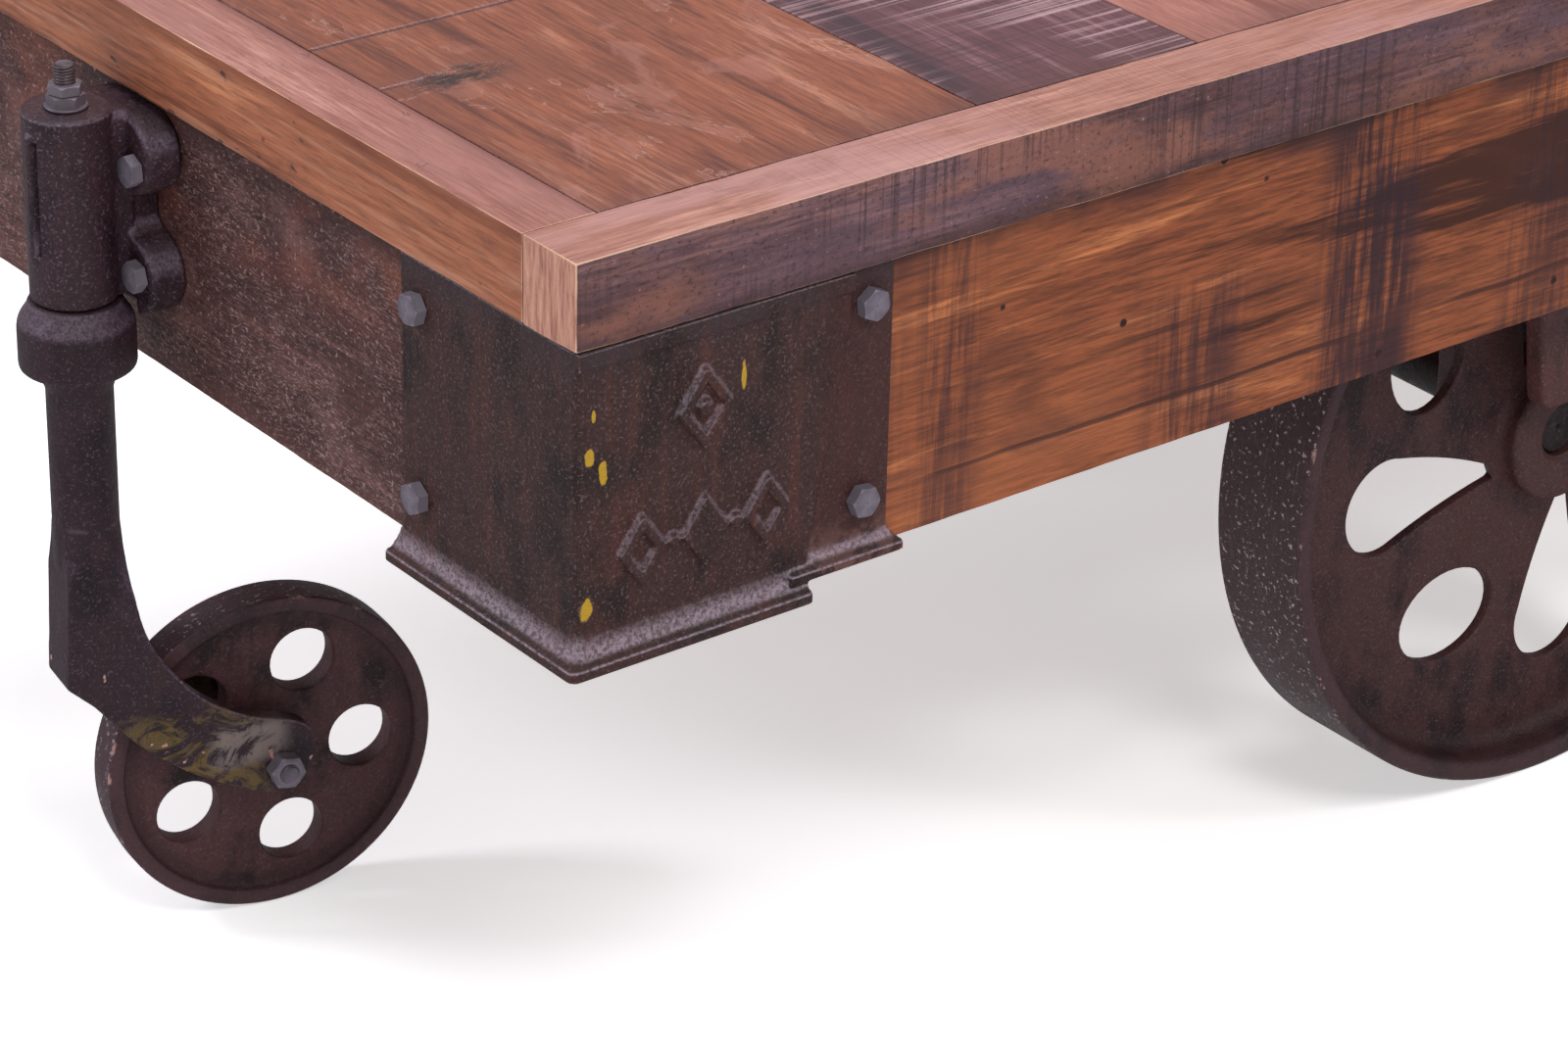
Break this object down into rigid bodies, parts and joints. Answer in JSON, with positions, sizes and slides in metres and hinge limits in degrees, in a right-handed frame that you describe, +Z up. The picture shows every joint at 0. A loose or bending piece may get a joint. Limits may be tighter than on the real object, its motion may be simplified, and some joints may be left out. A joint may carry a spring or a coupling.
{
  "type": "flat platform cart",
  "caption": "Low flat cart: framed plank deck on a wooden skirt, iron corner brackets, large cast wheels on a middle axle and swivel casters at the ends.",
  "frame": {"origin": "on the floor under the middle of the cart", "axes": "+X along the deck's length, +Y across it, +Z up"},
  "size_m": [1.3846, 0.6786, 0.457],
  "materials": {
    "border_wood": "worn satin varnish on reddish-brown reclaimed hardwood with pale rubbed edges",
    "plank_wood": "satin varnish on orange-brown reclaimed boards with knots and saw marks",
    "skirt_wood": "satin varnish on orange-brown boards with dark saw bands and stains",
    "beam_wood": "dry rough-sawn timber",
    "bracket_iron": "dark brown-black casting, semi-gloss, sandy skin with rusty streaks",
    "caster_iron": "dark purple-black paint on cast iron, glossy, with chips and old yellow paint",
    "wheel_iron": "maroon-brown paint on cast iron, worn grey on the tread",
    "bolt_steel": "dull grey zinc steel with light corrosion"
  },
  "bodies": {
    "root": {"deck_border_front": "border_wood", "deck_border_back": "border_wood", "deck_border_left": "border_wood", "deck_border_right": "border_wood", "deck_plank_1": "plank_wood", "deck_plank_2": "plank_wood", "deck_plank_3": "plank_wood", "deck_plank_4": "plank_wood", "deck_plank_5": "plank_wood", "deck_plank_6": "plank_wood", "deck_plank_7": "plank_wood", "side_rail_front": "skirt_wood", "side_rail_back": "skirt_wood", "end_rail_left": "skirt_wood", "end_rail_right": "skirt_wood", "cross_beam_left": "beam_wood", "cross_beam_right": "beam_wood", "corner_bracket_front_left": "bracket_iron", "corner_bracket_front_right": "bracket_iron", "corner_bracket_back_left": "bracket_iron", "corner_bracket_back_right": "bracket_iron", "corner_bolt_front_left_1": "bolt_steel", "corner_bolt_front_left_2": "bolt_steel", "corner_bolt_front_left_3": "bolt_steel", "corner_bolt_front_left_4": "bolt_steel", "corner_bolt_front_right_1": "bolt_steel", "corner_bolt_front_right_2": "bolt_steel", "corner_bolt_front_right_3": "bolt_steel", "corner_bolt_front_right_4": "bolt_steel", "corner_bolt_back_left_1": "bolt_steel", "corner_bolt_back_left_2": "bolt_steel", "corner_bolt_back_left_3": "bolt_steel", "corner_bolt_back_left_4": "bolt_steel", "corner_bolt_back_right_1": "bolt_steel", "corner_bolt_back_right_2": "bolt_steel", "corner_bolt_back_right_3": "bolt_steel", "corner_bolt_back_right_4": "bolt_steel", "caster_bracket_left": "caster_iron", "caster_bracket_right": "caster_iron", "caster_bracket_bolt_left_1": "bolt_steel", "caster_bracket_bolt_left_2": "bolt_steel", "caster_bracket_bolt_left_3": "bolt_steel", "caster_bracket_bolt_left_4": "bolt_steel", "caster_bracket_bolt_right_1": "bolt_steel", "caster_bracket_bolt_right_2": "bolt_steel", "caster_bracket_bolt_right_3": "bolt_steel", "caster_bracket_bolt_right_4": "bolt_steel", "axle_hanger_front": "wheel_iron", "axle_hanger_back": "wheel_iron", "main_axle": "bolt_steel"},
    "swivel_left": {"caster_leg_left": "caster_iron", "swivel_nut_left": "bolt_steel", "caster_axle_bolt_left": "bolt_steel"},
    "caster_wheel_left": {"caster_wheel_left": "wheel_iron"},
    "swivel_right": {"caster_leg_right": "caster_iron", "swivel_nut_right": "bolt_steel", "caster_axle_bolt_right": "bolt_steel"},
    "caster_wheel_right": {"caster_wheel_right": "wheel_iron"},
    "main_wheel_front": {"main_wheel_front": "wheel_iron"},
    "main_wheel_back": {"main_wheel_back": "wheel_iron"}
  },
  "joints": [
    {"name": "caster_swivel_left", "type": "hinge", "parent": "root", "child": "swivel_left", "pos_m": [-0.666, 0, 0.37], "axis": [0, 0, 1], "continuous": true},
    {"name": "caster_spin_left", "type": "hinge", "parent": "swivel_left", "child": "caster_wheel_left", "pos_m": [-0.58525, -0.01424, 0.081], "axis": [0.1736, 0.9848, 0], "continuous": true},
    {"name": "caster_swivel_right", "type": "hinge", "parent": "root", "child": "swivel_right", "pos_m": [0.666, 0, 0.37], "axis": [0, 0, 1], "continuous": true},
    {"name": "caster_spin_right", "type": "hinge", "parent": "swivel_right", "child": "caster_wheel_right", "pos_m": [0.58525, 0.01424, 0.081], "axis": [0.1736, 0.9848, 0], "continuous": true},
    {"name": "main_wheel_spin_front", "type": "hinge", "parent": "root", "child": "main_wheel_front", "pos_m": [0, -0.256, 0.184], "axis": [0, 1, 0], "continuous": true},
    {"name": "main_wheel_spin_back", "type": "hinge", "parent": "root", "child": "main_wheel_back", "pos_m": [0, 0.256, 0.184], "axis": [0, 1, 0], "continuous": true}
  ]
}
